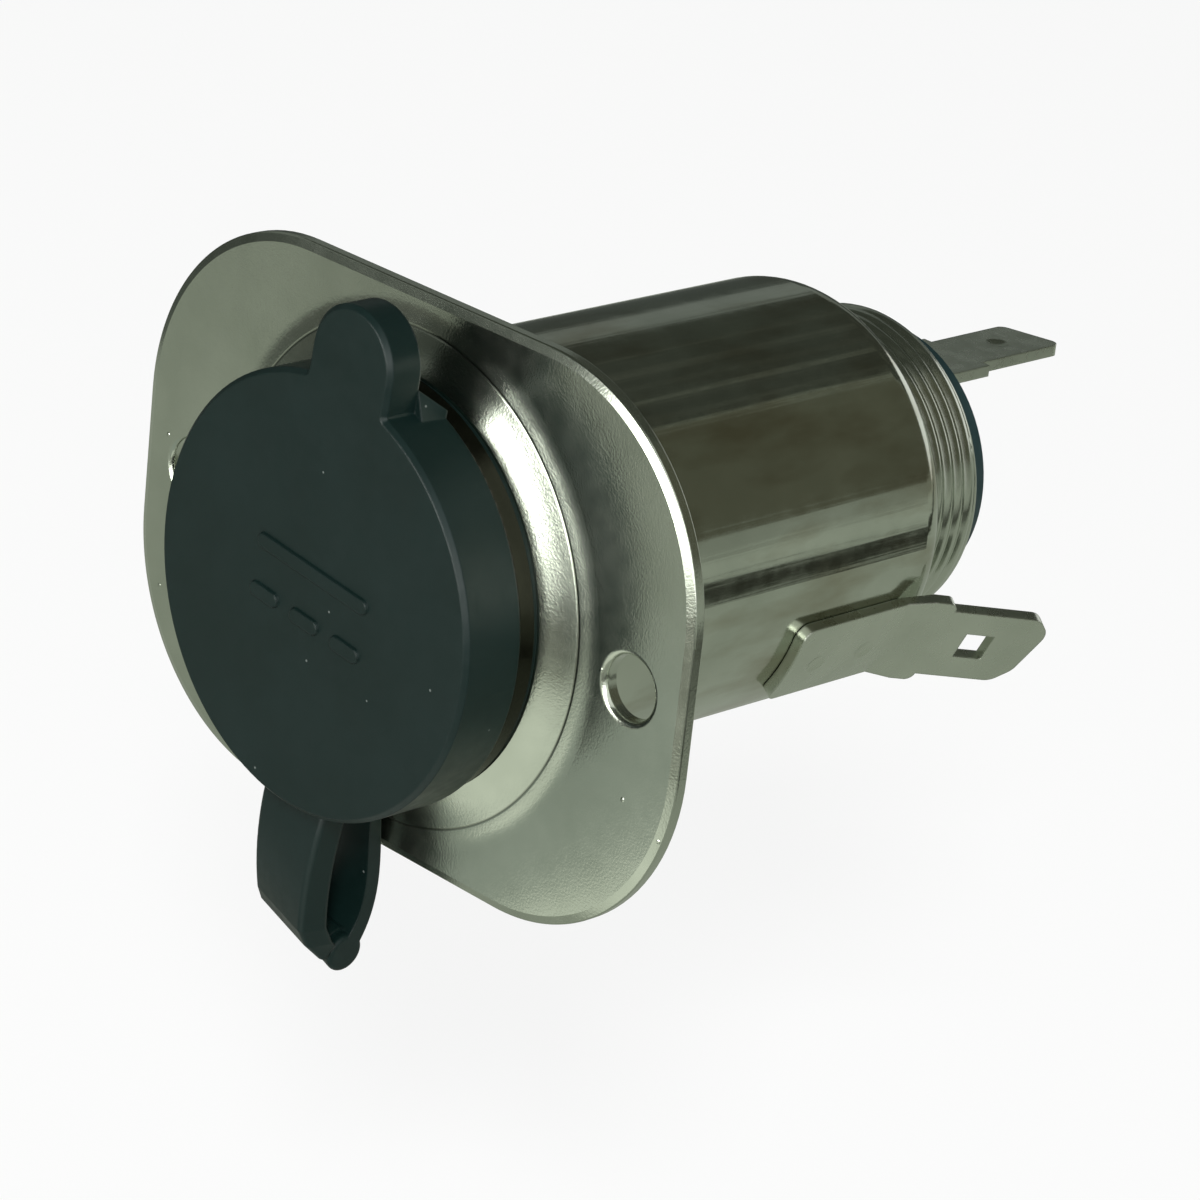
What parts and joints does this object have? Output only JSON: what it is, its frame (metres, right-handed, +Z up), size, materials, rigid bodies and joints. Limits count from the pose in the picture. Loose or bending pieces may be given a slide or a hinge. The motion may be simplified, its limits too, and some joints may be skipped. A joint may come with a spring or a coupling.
{
  "type": "car 12 v power socket",
  "caption": "Flanged metal power socket with a deep plug well, clamping sleeve, rear terminal blades and a rubber cap that swings on a folded strap.",
  "frame": {"origin": "where the socket's axis meets the flange's back face", "axes": "+Y along the socket from its mouth to the wiring end, +Z up, +X across the flange from screw hole to screw hole"},
  "size_m": [0.051, 0.0672, 0.0471],
  "materials": {
    "plate_nickel": "nickel plated, satin grain",
    "shell_nickel": "nickel plated, drawn along its length",
    "well_nickel": "nickel plated",
    "rear_insulator": "moulded, satin",
    "inner_insulator": "fibre, matt",
    "contact_brass": "stamped",
    "rivet_brass": "headed",
    "positive_tin": "tin plated strip",
    "ground_tin": "tin plated strip",
    "ring_rubber": "moulded, matt",
    "cap_rubber": "moulded, matt"
  },
  "bodies": {
    "socket_body": {"face_plate": "plate_nickel", "clamp_shell": "shell_nickel", "socket_well": "well_nickel", "rear_insulator": "rear_insulator", "inner_insulator": "inner_insulator", "centre_contact": "contact_brass", "centre_rivet": "rivet_brass", "positive_terminal": "positive_tin", "ground_terminal": "ground_tin", "cap_ring": "ring_rubber"},
    "cap_body": {"cap": "cap_rubber"}
  },
  "joints": [
    {"name": "cap_swing", "type": "hinge", "parent": "socket_body", "child": "cap_body", "pos_m": [-0.00299, -0.00265, -0.02583], "axis": [0.9934, 0, -0.1149], "range_deg": [0, 150]}
  ]
}
